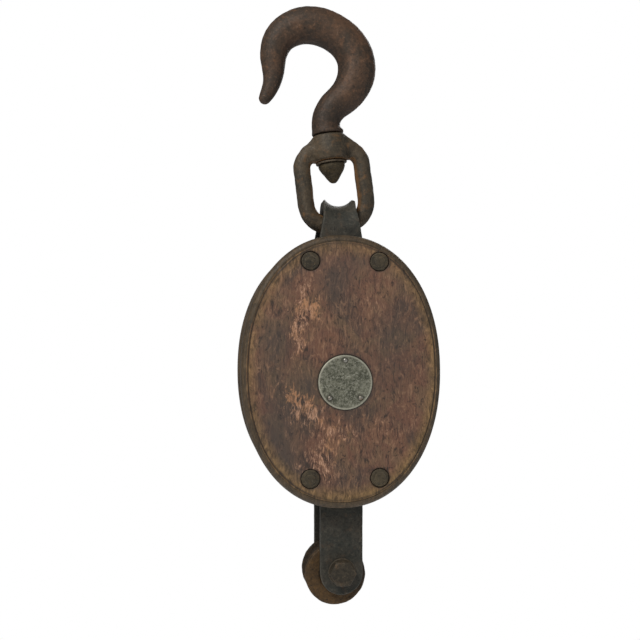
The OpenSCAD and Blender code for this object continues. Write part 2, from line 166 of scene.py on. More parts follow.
class Paint:
    """Short calls that build one material's nodes. Places are the row frame's, in metres."""

    def __init__(self, name, **shader):
        self.material = bpy.data.materials.new(name)
        self.material.use_nodes = True
        self.tree = self.material.node_tree
        self.shader = self.tree.nodes["Principled BSDF"]
        self.place = self.node("ShaderNodeTexCoord").outputs["Object"]
        for key, value in shader.items():
            self.shader.inputs[key.replace("_", " ")].default_value = value

    def node(self, kind, **settings):
        made = self.tree.nodes.new(kind)
        for key, value in settings.items():
            setattr(made, key, value)
        return made

    def put(self, socket, value):
        if isinstance(value, bpy.types.NodeSocket):
            self.tree.links.new(value, socket)
        elif isinstance(value, tuple) and len(value) == 3 and socket.type == "RGBA":
            socket.default_value = (*value, 1)
        else:
            socket.default_value = value

    def mapped(self, scale=(1, 1, 1), shift=0.0, turn=(0, 0, 0)):
        mapping = self.node("ShaderNodeMapping")
        self.put(mapping.inputs["Vector"], self.place)
        mapping.inputs["Scale"].default_value = scale
        mapping.inputs["Rotation"].default_value = turn
        mapping.inputs["Location"].default_value = (shift, shift * 1.7, shift * 0.6)
        return mapping.outputs["Vector"]

    def noise(self, size_mm, detail=4, rough=0.55, stretch=(1, 1, 1), shift=0.0, turn=(0, 0, 0),
              warp=0.0):
        """Noise whose blobs are about size_mm across, stretched along each axis."""
        made = self.node("ShaderNodeTexNoise")
        scale = tuple(1 / s for s in stretch)
        self.put(made.inputs["Vector"], self.mapped(scale, shift, turn))
        made.inputs["Scale"].default_value = 1000 / size_mm
        made.inputs["Detail"].default_value = detail
        made.inputs["Roughness"].default_value = rough
        made.inputs["Distortion"].default_value = warp
        return made.outputs["Fac"]

    def ramp(self, value, low, high, out_low=0.0, out_high=1.0):
        """Smooth step of value between low and high."""
        made = self.node("ShaderNodeMapRange", interpolation_type="SMOOTHSTEP")
        self.put(made.inputs["Value"], value)
        made.inputs["From Min"].default_value = low
        made.inputs["From Max"].default_value = high
        made.inputs["To Min"].default_value = out_low
        made.inputs["To Max"].default_value = out_high
        return made.outputs["Result"]

    def sum(self, operation, a, b):
        """One step of arithmetic, such as ADD, SUBTRACT or MULTIPLY."""
        made = self.node("ShaderNodeMath", operation=operation)
        self.put(made.inputs[0], a)
        self.put(made.inputs[1], b)
        return made.outputs[0]

    def blend(self, factor, a, b):
        """Colour a, turning to colour b as factor goes from 0 to 1."""
        made = self.node("ShaderNodeMix", data_type="RGBA")
        self.put(made.inputs["Factor"], factor)
        self.put(made.inputs[6], a)
        self.put(made.inputs[7], b)
        return made.outputs[2]

    def mask(self, name):
        """A mask kept on the mesh's points."""
        return self.node("ShaderNodeAttribute", attribute_name=name).outputs["Fac"]

    def edges(self, low, high):
        """1 on convex edges of a dense mesh."""
        return self.ramp(self.node("ShaderNodeNewGeometry").outputs["Pointiness"], low, high)

    def bump(self, *layers):
        """Layers of (height, depth in mm), one over the other."""
        normal = None
        for height, depth in layers:
            made = self.node("ShaderNodeBump")
            made.inputs["Distance"].default_value = depth * MM
            made.inputs["Strength"].default_value = 1
            self.put(made.inputs["Height"], height)
            if normal is not None:
                self.put(made.inputs["Normal"], normal)
            normal = made.outputs["Normal"]
        self.put(self.shader.inputs["Normal"], normal)

    def finish(self, colour, roughness):
        self.put(self.shader.inputs["Base Color"], colour)
        self.put(self.shader.inputs["Roughness"], roughness)
        return self.material


def shade(colour, factor, lift=0.0):
    """A colour made lighter or darker by a factor, then lifted."""
    return tuple(lift + factor * c for c in colour)


def worn_wood(name):
    """Dark varnished hardwood, grain along Z, worn bare in patches, ochre at the rim."""
    p = Paint(name, Specular_IOR_Level=0.35)
    fibre = p.noise(0.9, 5, 0.65, (1, 1, 11), 3.1, warp=0.4)
    fine = p.noise(0.5, 3, 0.6, (1, 1, 6), 7.7)
    flecks = p.noise(3.4, 5, 0.75, (1, 1, 2.6), 15.2, (0, 0.25, 0), 1.2)
    patches = p.noise(34, 5, 0.6, (1, 1, 1.5), 1.3, warp=0.6)
    blotches = p.noise(13, 6, 0.7, (1, 1, 1.3), 9.2, warp=0.8)
    tones = p.noise(21, 5, 0.65, (1, 1, 1.2), 21.4, warp=1.0)
    specks = p.noise(2.2, 3, 0.7, (1, 1, 2), 5.5)
    pores = p.ramp(p.noise(0.8, 2, 0.5, (0.6, 0.6, 9), 12.9), 0.6, 0.72)
    pocks = p.ramp(p.noise(2.6, 2, 0.5, (1, 1, 1.2), 18.3), 0.7, 0.76)
    colour = p.blend(p.ramp(patches, 0.38, 0.62), (0.050, 0.033, 0.026), (0.115, 0.053, 0.034))
    colour = p.blend(p.ramp(tones, 0.46, 0.64, 0, 0.7), colour, (0.115, 0.072, 0.040))
    colour = p.blend(p.ramp(blotches, 0.44, 0.68, 0, 0.7), colour, (0.150, 0.074, 0.042))
    colour = p.blend(p.ramp(fibre, 0.45, 0.75, 0, 0.45), colour, (0.20, 0.118, 0.075))
    colour = p.blend(p.ramp(flecks, 0.52, 0.66, 0, 0.7), colour, (0.24, 0.134, 0.080))
    colour = p.blend(p.ramp(flecks, 0.48, 0.34, 0, 0.95), colour, (0.026, 0.017, 0.013))
    smoke = p.sum("MULTIPLY", p.mask("smoke"), p.ramp(blotches, 0.25, 0.6, 0.5, 1.0))
    colour = p.blend(smoke, colour, (0.043, 0.036, 0.031))
    ochre_grain = p.blend(p.ramp(flecks, 0.35, 0.68), (0.080, 0.048, 0.018), (0.270, 0.165, 0.070))
    rim = p.sum("MULTIPLY", p.mask("rim"), p.ramp(blotches, 0.28, 0.6, 0.35, 1.0))
    colour = p.blend(rim, colour, ochre_grain)
    bare_edge = p.sum("ADD", p.mask("bare"), p.ramp(flecks, 0.3, 0.7, -0.95, 0.45))
    bare = p.ramp(p.sum("ADD", bare_edge, p.ramp(fibre, 0.2, 0.8, -0.3, 0.3)), 0.4, 0.95, 0, 0.85)
    bare_grain = p.blend(p.ramp(fine, 0.35, 0.65), (0.16, 0.080, 0.044), (0.50, 0.300, 0.200))
    bare_grain = p.blend(p.ramp(tones, 0.4, 0.62, 0, 0.7), bare_grain, (0.33, 0.155, 0.065))
    colour = p.blend(bare, colour, bare_grain)
    colour = p.blend(p.sum("MULTIPLY", pores, 0.6), colour, (0.03, 0.018, 0.012))
    colour = p.blend(p.sum("MULTIPLY", pocks, 0.7), colour, (0.022, 0.014, 0.010))
    side = p.blend(p.ramp(blotches, 0.3, 0.7), (0.026, 0.019, 0.011), (0.064, 0.043, 0.023))
    side = p.blend(p.ramp(flecks, 0.48, 0.7, 0, 0.7), side, (0.118, 0.078, 0.043))
    side = p.blend(p.ramp(fibre, 0.5, 0.72, 0, 0.55), side, (0.105, 0.066, 0.036))
    side = p.blend(p.ramp(fibre, 0.45, 0.3, 0, 0.7), side, (0.015, 0.011, 0.007))
    colour = p.blend(p.mask("side"), colour, side)
    # Painted shade round and in the recesses and along the rim crease.
    colour = p.blend(p.mask("dirt"), colour, (0.012, 0.009, 0.007))
    rough = p.ramp(specks, 0.2, 0.8, 0.5, 0.74)
    p.bump((fibre, 0.12), (fine, 0.05), (flecks, 0.22), (p.sum("SUBTRACT", 1.0, pores), 0.08),
           (p.sum("SUBTRACT", 1.0, pocks), 0.25), (bare, 0.06))
    return p.finish(colour, rough)


def plain_wood(name):
    """Dusty inner wood of the spacers."""
    p = Paint(name, Specular_IOR_Level=0.3)
    fibre = p.noise(1.1, 5, 0.6, (1, 1, 12), 4.4)
    patches = p.noise(16, 4, 0.6, (1, 1, 1.5), 8.8)
    colour = p.blend(p.ramp(fibre, 0.3, 0.7), (0.060, 0.034, 0.020), (0.14, 0.080, 0.046))
    colour = p.blend(p.ramp(patches, 0.4, 0.7, 0, 0.7), colour, (0.035, 0.026, 0.020))
    colour = p.blend(p.edges(0.52, 0.6), colour, (0.20, 0.12, 0.07))
    p.bump((fibre, 0.15), (patches, 0.2))
    return p.finish(colour, p.ramp(patches, 0.3, 0.7, 0.7, 0.9))


def old_iron(name, dark, brown, rust, rust_share=0.5, shift=0.0, pits=0.12, gloss=0.5):
    """Forged or cast iron: scale, brown oxide, orange rust in hollows, rubbed edges, painted shade in
    creases.
    """
    p = Paint(name, Metallic=0.1, Specular_IOR_Level=0.3)
    broad = p.noise(26, 4, 0.6, shift=shift, warp=0.7)
    scale = p.noise(6, 5, 0.65, shift=shift + 3)
    grit = p.noise(1.1, 4, 0.7, shift=shift + 6)
    grain = p.noise(2.6, 6, 0.8, shift=shift + 9, warp=0.5)
    scars = p.ramp(p.noise(1.3, 2, 0.5, (1, 1, 9), shift + 13, (0, 0.5, 0)), 0.7, 0.78)
    holes = p.ramp(p.noise(2.1, 2, 0.5, shift=shift + 11), 0.66, 0.76)
    colour = p.blend(p.ramp(broad, 0.38, 0.62), dark, brown)
    between = tuple(0.5 * (a + b) for a, b in zip(brown, rust))
    colour = p.blend(p.ramp(scale, 0.5, 0.72, 0, 0.6), colour, between)
    orange = p.ramp(p.sum("ADD", scale, p.ramp(grit, 0.2, 0.8, -0.12, 0.12)), 0.62, 0.78, 0, rust_share)
    colour = p.blend(orange, colour, rust)
    colour = p.blend(p.ramp(grain, 0.51, 0.68, 0, 0.65), colour, shade(brown, 2.0))
    colour = p.blend(p.ramp(grain, 0.48, 0.33, 0, 0.8), colour, shade(dark, 0.4))
    colour = p.blend(p.sum("MULTIPLY", scars, 0.45), colour, shade(brown, 2.2, 0.04))
    hollow = p.sum("MULTIPLY", p.mask("hollow"), p.ramp(scale, 0.3, 0.6, 0.35, 1.0))
    colour = p.blend(hollow, colour, rust)
    rubbed = p.sum("MULTIPLY", p.edges(0.515, 0.56), p.ramp(grit, 0.35, 0.7, 0.1, 0.6))
    colour = p.blend(rubbed, colour, shade(brown, 1.9, 0.06))
    # Painted shade: concave creases darkened.
    crease_shade = p.ramp(p.sum("SUBTRACT", 1.0, p.edges(0.44, 0.5)), 0.2, 1, 0, 0.6)
    colour = p.blend(crease_shade, colour, shade(dark, 0.35))
    # Painted shade and dark grime where the mesh's mask asks for it, varied by grain.
    shade_and_grime_share = p.sum("MULTIPLY", p.mask("dirt"), p.ramp(grain, 0.3, 0.6, 1.0, 0.5))
    colour = p.blend(shade_and_grime_share, colour, shade(dark, 0.55))
    colour = p.blend(p.sum("MULTIPLY", holes, 0.7), colour, shade(dark, 0.3))
    rough = p.ramp(grit, 0.25, 0.75, gloss, gloss + 0.28)
    p.bump((scale, 0.25), (grain, 0.16), (grit, 0.09), (p.sum("SUBTRACT", 1.0, holes), pits))
    return p.finish(colour, rough)


def old_zinc(name):
    """Dull grey-green galvanized plate, mottled, with small bright scratches, a painted highlight round the
    rim and painted shade in the nail dimples.
    """
    p = Paint(name, Metallic=0.45, Specular_IOR_Level=0.4)
    cloud = p.noise(8, 6, 0.75, shift=2.0, warp=1.0)
    mottle = p.noise(1.5, 5, 0.75, shift=5.0, warp=0.5)
    scratch = p.ramp(p.noise(0.7, 2, 0.5, (8, 1, 1), 4.0, (0, 0.9, 0)), 0.68, 0.75)
    colour = p.blend(p.ramp(cloud, 0.35, 0.65), (0.050, 0.052, 0.036), (0.170, 0.170, 0.128))
    colour = p.blend(p.ramp(mottle, 0.48, 0.64, 0, 0.85), colour, (0.27, 0.27, 0.22))
    colour = p.blend(p.ramp(mottle, 0.47, 0.34, 0, 0.85), colour, (0.040, 0.042, 0.030))
    colour = p.blend(p.sum("MULTIPLY", scratch, 0.5), colour, (0.42, 0.42, 0.36))
    # Painted highlight round the plate's rim.
    colour = p.blend(p.mask("rim_highlight"), colour, (0.40, 0.39, 0.32))
    # Painted shade in the dimples round the nails.
    colour = p.blend(p.mask("dirt"), colour, (0.030, 0.026, 0.018))
    p.bump((mottle, 0.06), (cloud, 0.08))
    return p.finish(colour, p.ramp(mottle, 0.3, 0.7, 0.42, 0.62))


def oiled_steel(name, base, shift):
    """Turned steel under old oil: fine turning marks, brown stains."""
    p = Paint(name, Metallic=0.85)
    turning = p.noise(0.5, 3, 0.5, (1, 6, 1), shift)
    stain = p.noise(5, 4, 0.6, shift=shift + 2)
    colour = p.blend(p.ramp(turning, 0.3, 0.7), shade(base, 0.7), base)
    colour = p.blend(p.ramp(stain, 0.5, 0.7, 0, 0.8), colour, (0.13, 0.075, 0.035))
    p.bump((turning, 0.02), (stain, 0.04))
    return p.finish(colour, p.ramp(stain, 0.3, 0.7, 0.28, 0.55))


WOOD = worn_wood("shell_wood")
INNER_WOOD = plain_wood("spacer_wood")
HOOK_IRON = old_iron("hook_iron", (0.032, 0.022, 0.015), (0.070, 0.038, 0.022), (0.14, 0.062, 0.028),
                     0.4, 0.0)
NUT_IRON = old_iron("nut_iron", (0.020, 0.015, 0.008), (0.046, 0.034, 0.017), (0.13, 0.085, 0.030),
                    0.6, 8.0)
EYE_IRON = old_iron("eye_iron", (0.027, 0.023, 0.016), (0.058, 0.043, 0.027), (0.17, 0.080, 0.026),
                    0.45, 14.0)
STRAP_IRON = old_iron("strap_iron", (0.021, 0.022, 0.018), (0.038, 0.034, 0.026), (0.095, 0.052, 0.026),
                      0.3, 23.0, 0.10)
RIVET_IRON = old_iron("rivet_iron", (0.024, 0.020, 0.013), (0.056, 0.043, 0.025), (0.10, 0.062, 0.028),
                      0.3, 31.0, 0.08)
BECKET_IRON = old_iron("becket_iron", (0.022, 0.018, 0.012), (0.048, 0.037, 0.024), (0.12, 0.065, 0.026),
                       0.4, 42.0)
SPOOL_IRON = old_iron("spool_iron", (0.020, 0.012, 0.005), (0.058, 0.032, 0.011), (0.125, 0.062, 0.016),
                      0.6, 53.0, 0.15)
SHEAVE_IRON = old_iron("sheave_iron", (0.030, 0.022, 0.014), (0.066, 0.042, 0.025), (0.15, 0.07, 0.025),
                       0.5, 61.0)
ZINC = old_zinc("plate_zinc")
NAIL_STEEL = oiled_steel("nail_steel", (0.30, 0.29, 0.26), 71.0)
BUSH_STEEL = oiled_steel("bush_steel", (0.40, 0.38, 0.34), 74.0)
ROLLER_STEEL = oiled_steel("roller_steel", (0.50, 0.49, 0.46), 77.0)

# ---------------------------------------------------------------- meshes


def dress(name, data, paint, body, crease_deg=50):
    """A smooth-shaded piece that rides on a body and stands for the CAD node of its name."""
    made = bpy.data.objects.new(name, data)
    bpy.context.scene.collection.objects.link(made)
    data.materials.clear()
    data.materials.append(paint)
    data.shade_smooth()
    data.set_sharp_from_angle(angle=math.radians(crease_deg))
    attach(made, body)
    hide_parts(name)
    return made


def points(data):
    co = np.empty(len(data.vertices) * 3)
    data.vertices.foreach_get("co", co)
    return co.reshape(-1, 3)


def normals(data):
    no = np.empty(len(data.vertices) * 3)
    data.vertices.foreach_get("normal", no)
    return no.reshape(-1, 3)


def set_points(data, co):
    data.vertices.foreach_set("co", np.ascontiguousarray(co, dtype=float).ravel())
    data.update()


def set_mask(data, name, values):
    layer = data.attributes.new(name, "FLOAT", "POINT")
    layer.data.foreach_set("value", np.clip(values, 0, 1).astype(np.float32))


def wobble(co, size_mm, seed, octaves=3):
    """Smooth noise from -1 to 1 at each point, with blobs about size_mm across."""
    offset = Vector((seed * 3.7, seed * 1.9, seed * 5.3))
    return np.array([
        noise.fractal(Vector(c) * (1000 / size_mm) + offset, 1.0, 2.0, octaves) for c in co])


def roughen(data, depth_mm, size_mm, seed):
    """Moves each point in by up to depth_mm along its normal, for hammered or cast surfaces."""
    co = points(data)
    push = np.clip(wobble(co, size_mm, seed), -1, 1) * 0.5 - 0.5
    set_points(data, co + normals(data) * (push * depth_mm * MM)[:, None])


def evaluated(made):
    """The object's mesh with its modifiers applied; the object is removed."""
    graph = bpy.context.evaluated_depsgraph_get()
    data = bpy.data.meshes.new_from_object(made.evaluated_get(graph))
    bpy.data.objects.remove(made)
    return data


def copy_of(node):
    """A temporary object with the welded mesh of a CAD node."""
    builder = bmesh.new()
    builder.from_mesh(frame["nodes"][node].data)
    bmesh.ops.remove_doubles(builder, verts=builder.verts, dist=0.002 * MM)
    data = bpy.data.meshes.new("copy")
    builder.to_mesh(data)
    builder.free()
    made = bpy.data.objects.new("copy", data)
    bpy.context.scene.collection.objects.link(made)
    return made


def softened(node, voxel_mm, rounds, extra=None):
    """A CAD node as one dense mesh whose edges are rounded as by wear."""
    made = copy_of(node)
    if extra is not None:
        builder = bmesh.new()
        builder.from_mesh(made.data)
        extra(builder)
        builder.to_mesh(made.data)
        builder.free()
    remesh = made.modifiers.new("remesh", "REMESH")
    remesh.mode = "VOXEL"
    remesh.voxel_size = voxel_mm * MM
    smooth = made.modifiers.new("smooth", "SMOOTH")
    smooth.factor = 0.5
    smooth.iterations = rounds
    return evaluated(made)


def cut(data, cutters):
    """The mesh less each closed cutter mesh."""
    made = bpy.data.objects.new("cut", data)
    bpy.context.scene.collection.objects.link(made)
    helpers = []
    for i, cutter in enumerate(cutters):
        helper = bpy.data.objects.new(f"cutter_{i}", cutter)
        bpy.context.scene.collection.objects.link(helper)
        helpers.append(helper)
        change = made.modifiers.new(f"cut_{i}", "BOOLEAN")
        change.operation = "DIFFERENCE"
        change.solver = "EXACT"
        change.object = helper
    result = evaluated(made)
    for helper in helpers:
        bpy.data.objects.remove(helper)
    return result


def turned_mesh(profile, centre, sides, closed=False):
    """Profile of (radius, y) in mm turned about the Y axis through a centre: vertices and faces."""
    verts, faces = [], []
    for r, y in profile:
        for k in range(sides):
            a = 2 * math.pi * k / sides
            verts.append((
                centre.x + r * MM * math.cos(a), centre.y + y * MM, centre.z + r * MM * math.sin(a)))
    rows = len(profile)
    for i in range(rows if closed else rows - 1):
        j = (i + 1) % rows
        for k in range(sides):
            n = (k + 1) % sides
            faces.append((i * sides + k, i * sides + n, j * sides + n, j * sides + k))
    if not closed:
        faces.append(tuple(range(sides))[::-1])
        faces.append(tuple((rows - 1) * sides + k for k in range(sides)))
    return verts, faces


def mesh_from(verts, faces):
    data = bpy.data.meshes.new("part")
    data.from_pydata([tuple(v) for v in verts], [], [tuple(f) for f in faces])
    data.update()
    builder = bmesh.new()
    builder.from_mesh(data)
    bmesh.ops.recalc_face_normals(builder, faces=builder.faces)
    builder.to_mesh(data)
    builder.free()
    return data


def fine(profile, step_mm):
    """The profile with points no further apart than step_mm."""
    result = [profile[0]]
    for a, b in zip(profile, profile[1:]):
        n = max(1, math.ceil(math.dist(a, b) / step_mm))
        result += [(a[0] + (b[0] - a[0]) * k / n, a[1] + (b[1] - a[1]) * k / n) for k in range(1, n + 1)]
    return result


# ---------------------------------------------------------------- cheeks

OUTLINE_POINTS = 360
FACE_RINGS = 64
INNER_RINGS = 24
RIM_INSET_MM = 4.6
CREASE_MM = 0.45
CHANNEL_HALF_H = 0.13
# Marks on the front face: x and z from the pin, half width and half height, strength.
BARE_SPOTS = [
    (-32, 54, 6, 14, 1.0), (-22, 55, 4, 11, 0.9), (-38, 40, 5, 9, 0.7), (-36, 22, 7, 12, 0.55),
    (-44, -8, 9, 7, 0.6), (-31, -16, 8, 7, 0.75), (-38, -26, 7, 9, 0.6), (-24, -26, 6, 6, 0.8),
    (-10, -37, 8, 10, 0.75), (4, -38, 6, 9, 0.55), (-14, -56, 7, 9, 0.8), (-28, -60, 8, 9, 0.85),
    (-16, -72, 9, 6, 0.6), (24, -34, 5, 5, 0.5), (38, -38, 7, 6, 0.55), (20, 62, 8, 6, 0.35),
    (-30, 72, 7, 5, 0.4), (44, 30, 6, 9, 0.3)]
SMOKE_SPOTS = [
    (-52, -34, 12, 24, 0.95), (-44, -60, 10, 12, 0.6), (-6, 78, 12, 14, 0.75), (-52, 30, 13, 18, 0.6),
    (40, 38, 14, 18, 0.45), (-28, -2, 10, 9, 0.7), (30, 8, 16, 26, 0.35), (12, 92, 10, 7, 0.5)]


def oval_radius(x, z):
    """1 on the shell's outline, 0 at its middle."""
    return (np.abs((x - SHELL.x) / HALF_W) ** OVAL_POWER
            + np.abs((z - SHELL.z) / HALF_H) ** OVAL_POWER) ** (1 / OVAL_POWER)


def oval_ring(inset_mm, y):
    """Points of the shell's outline, shrunk by inset_mm, at a height y."""
    ring = []
    for k in range(OUTLINE_POINTS):
        a = 2 * math.pi * k / OUTLINE_POINTS
        c, s = math.cos(a), math.sin(a)
        ring.append((
            SHELL.x + (HALF_W - inset_mm * MM) * math.copysign(abs(c) ** (2 / OVAL_POWER), c), y,
            SHELL.z + (HALF_H - inset_mm * MM) * math.copysign(abs(s) ** (2 / OVAL_POWER), s)))
    return ring


def cheek_mesh(side):
    """A cheek, side -1 at the front and 1 at the rear: flat face, creased and rounded rim."""
    rim = [(0.9, 0), (0.25, 0.25), (0, 0.9)]
    depth_mm = (OUTER_Y - INNER_Y) / MM
    rim += [(0, 0.9 + (depth_mm - 6.4) * k / 10) for k in range(1, 11)]
    rim += [(RIM_INSET_MM * (1 - math.cos(a)), depth_mm - 5.5 + 5.2 * math.sin(a))
            for a in np.radians(np.linspace(9, 84, 11))]
    crease_floor = depth_mm - 0.3 - CREASE_MM
    rim += [(RIM_INSET_MM + 0.15, crease_floor), (RIM_INSET_MM + 0.55, crease_floor),
            (RIM_INSET_MM + 0.95, depth_mm - 0.12), (RIM_INSET_MM + 1.6, depth_mm)]
    rows = [oval_ring(inset, side * (INNER_Y + y * MM)) for inset, y in rim]
    last_inset = rim[-1][0]
    for k in range(1, FACE_RINGS):
        share = 1 - k / FACE_RINGS
        rows.append([(SHELL.x + (x - SHELL.x) * share, side * OUTER_Y, SHELL.z + (z - SHELL.z) * share)
                     for x, _, z in oval_ring(last_inset, 0)])
    inner = []
    for k in range(1, INNER_RINGS):
        share = 1 - k / INNER_RINGS
        inner.append([(SHELL.x + (x - SHELL.x) * share, side * INNER_Y, SHELL.z + (z - SHELL.z) * share)
                      for x, _, z in oval_ring(0.9, 0)])
    rows = inner[::-1] + rows
    verts = [v for row in rows for v in row]
    n = OUTLINE_POINTS
    faces = [(i * n + k, i * n + (k + 1) % n, (i + 1) * n + (k + 1) % n, (i + 1) * n + k)
             for i in range(len(rows) - 1) for k in range(n)]
    faces.append(tuple(range(n)))
    faces.append(tuple((len(rows) - 1) * n + k for k in range(n)))
    return mesh_from(verts, faces)


def recess(x, z, r_mm, depth_mm, side):
    """Cutter for a round recess in a cheek's face, its mouth a little flared."""
    face = OUTER_Y / MM
    profile = [(0.01, face - depth_mm), (r_mm, face - depth_mm), (r_mm, face - 0.7),
               (r_mm + 0.12, face - 0.3), (r_mm + 0.45, face + 0.05), (r_mm + 1.2, face + 1.5),
               (0.01, face + 1.5)]
    verts, faces = turned_mesh(profile, Vector((x, 0, z)), 96)
    if side < 0:
        verts = [(a, -b, c) for a, b, c in verts]
    return mesh_from(verts, faces)


def strap_let_in(side):
    """Cutter for the channel in a cheek's inner face that the strap lies in."""
    half = STRAP_HALF_W + 0.3 * MM
    y0, y1 = sorted((side * (INNER_Y - MM), side * (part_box("strap")[1].y + 0.1 * MM)))
    corners = [(PIN.x + sx * half, y, SHELL.z + sz * CHANNEL_HALF_H)
               for y in (y0, y1) for sz in (-1, 1) for sx in (-1, 1)]
    faces = [(0, 1, 3, 2), (4, 6, 7, 5), (0, 4, 5, 1), (2, 3, 7, 6), (0, 2, 6, 4), (1, 5, 7, 3)]
    return mesh_from(corners, faces)


def spots(co, marks, side):
    """Sum of soft oval marks at each point; the rear cheek wears them upside down."""
    total = np.zeros(len(co))
    for x, z, w, h, strength in marks:
        across = (co[:, 0] - PIN.x + side * x * MM) / (w * MM)
        up = (co[:, 2] - PIN.z + side * z * MM) / (h * MM)
        total += strength * np.exp(-0.7 * (across ** 2 + up ** 2))
    return total


def cheek(side):
    """A finished cheek with its recesses, dents and paint masks."""
    name = "front_cheek" if side < 0 else "rear_cheek"
    cutters = [recess(x, z, BURR_R / MM + 0.35, RIVET_RECESS_MM, side) for x in RIVET_X for z in RIVET_Z]
    cutters.append(recess(PIN.x, PIN.z, PLATE_R / MM + 0.12, PLATE_RECESS_MM, side))
    cutters.append(strap_let_in(side))
    data = cut(cheek_mesh(side), cutters)
    co = points(data)
    face = np.abs(co[:, 1]) > OUTER_Y - 1.2 * MM
    radius = oval_radius(co[:, 0], co[:, 2])
    marks = spots(co, BARE_SPOTS, side)
    smoke = spots(co, SMOKE_SPOTS, side)
    flat = face & (np.abs(co[:, 1]) > OUTER_Y - 0.05 * MM)
    sink = (np.clip(wobble(co, 30, 2 + side), -1, 1) * 0.5 + 0.5) * 0.12
    sink += np.clip(wobble(co, 7, 5 + side, 2), 0, 1) * 0.12
    co[flat, 1] -= side * (sink[flat] * MM)
    set_points(data, co)
    ring = np.full(len(co), 9.0)
    for x in RIVET_X:
        for z in RIVET_Z:
            ring = np.minimum(ring, np.abs(np.hypot(co[:, 0] - x, co[:, 2] - z) - BURR_R) / MM)
    ring = np.minimum(ring, np.abs(np.hypot(co[:, 0] - PIN.x, co[:, 2] - PIN.z) - PLATE_R) / MM)
    crease = np.abs((1 - radius) * HALF_W / MM - RIM_INSET_MM - 0.4)
    deep = face & (np.abs(co[:, 1]) < OUTER_Y - 0.8 * MM) & (radius < 0.9)
    set_mask(data, "bare", marks * face)
    set_mask(data, "smoke", smoke * 0.85)
    lower_right = np.clip(0.5 + 0.5 * (side * (PIN.x - co[:, 0]) - (co[:, 2] - PIN.z)) / HALF_H, 0.3, 1)
    set_mask(data, "rim", np.clip((radius - 0.83) / 0.09, 0, 1) * (0.55 + 0.45 * lower_right))
    set_mask(data, "side", (radius > 1 - (RIM_INSET_MM - 0.6) * MM / HALF_W) * 1.0)
    # Painted shade: dark rings round the rivet and plate recesses, a dark line along the rim crease and
    # darker recess floors.
    set_mask(data, "dirt", np.maximum.reduce([
        0.9 * np.exp(-(ring / 1.0) ** 2), 0.95 * np.exp(-(crease / 0.6) ** 2) * face, 0.9 * deep]))
    dress(name, data, WOOD, "block")


# ---------------------------------------------------------------- plates, nails, rivets


def pin_plate(side, proud_mm, name):
    """Round plate with a painted highlight at its edge and a dimple round each nail, painted shade in each
    dimple.
    """
    r = PLATE_R / MM
    face = OUTER_Y / MM + proud_mm
    low = OUTER_Y / MM - PLATE_RECESS_MM
    profile = fine([(0.01, low), (r, low), (r, face - 0.55), (r - 0.12, face - 0.28), (r - 0.5, face - 0.05),
                    (r - 1.0, face), (0.3, face)], 0.8)
    verts, faces = turned_mesh(profile, PIN, 160)
    verts = [(x, side * y, z) for x, y, z in verts]
    data = mesh_from(verts, faces)
    co = points(data)
    face_side = np.abs(co[:, 1]) > OUTER_Y + (proud_mm - 0.6) * MM
    dip = np.zeros(len(co))
    for a in np.radians(NAIL_ANGLES):
        d = np.hypot(co[:, 0] - PIN.x - NAIL_CIRCLE_R * math.cos(a),
                     co[:, 2] - PIN.z - NAIL_CIRCLE_R * math.sin(a))
        dip = np.maximum(dip, np.exp(-(d / (2.6 * MM)) ** 4))
    dip[~face_side] = 0
    co[:, 1] -= side * (dip * 0.45 * MM + face_side * (wobble(co, 9, 8) * 0.5 + 0.5).clip(0, 1) * 0.08 * MM)
    set_points(data, co)
    edge = np.hypot(co[:, 0] - PIN.x, co[:, 2] - PIN.z)
    # Painted highlight: a bright ring just inside the plate's edge.
    set_mask(data, "rim_highlight", face_side * np.exp(-((edge - PLATE_R + 0.7 * MM) / (0.5 * MM)) ** 2) * 0.8)
    # Painted shade in the dimples round the nails.
    set_mask(data, "dirt", dip * 0.85)
    dress(name, data, ZINC, "block")


def domed_head(x, z, r_mm, top_mm, height_mm):
    """Dome on the front whose top is top_mm before the middle plane: vertices and faces."""
    rings = [(r_mm * math.cos(a), top_mm - height_mm + height_mm * math.sin(a))
             for a in np.radians(np.linspace(0, 84, 9))]
    profile = [(r_mm * 0.9, top_mm - height_mm - 0.8)] + rings
    verts, faces = turned_mesh(fine(profile, 0.4), Vector((x, 0, z)), 40)
    return [(a, -b, c) for a, b, c in verts], faces


def joined(parts):
    """Several pairs of vertices and faces as one pair."""
    verts, faces = [], []
    for v, f in parts:
        faces += [tuple(i + len(verts) for i in face) for face in f]
        verts += v
    return verts, faces


def front_nails():
    """Three small domed nails that hold the front plate."""
    top = -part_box("front_plate_nails")[0].y / MM
    heads = [domed_head(PIN.x + NAIL_CIRCLE_R * math.cos(a), PIN.z + NAIL_CIRCLE_R * math.sin(a),
                        r_mm=1.75, top_mm=top - 0.25, height_mm=1.0) for a in np.radians(NAIL_ANGLES)]
    verts, faces = joined(heads)
    data = mesh_from(verts, faces)
    roughen(data, 0.12, 2, 4)
    dress("front_plate_nails", data, NAIL_STEEL, "block")


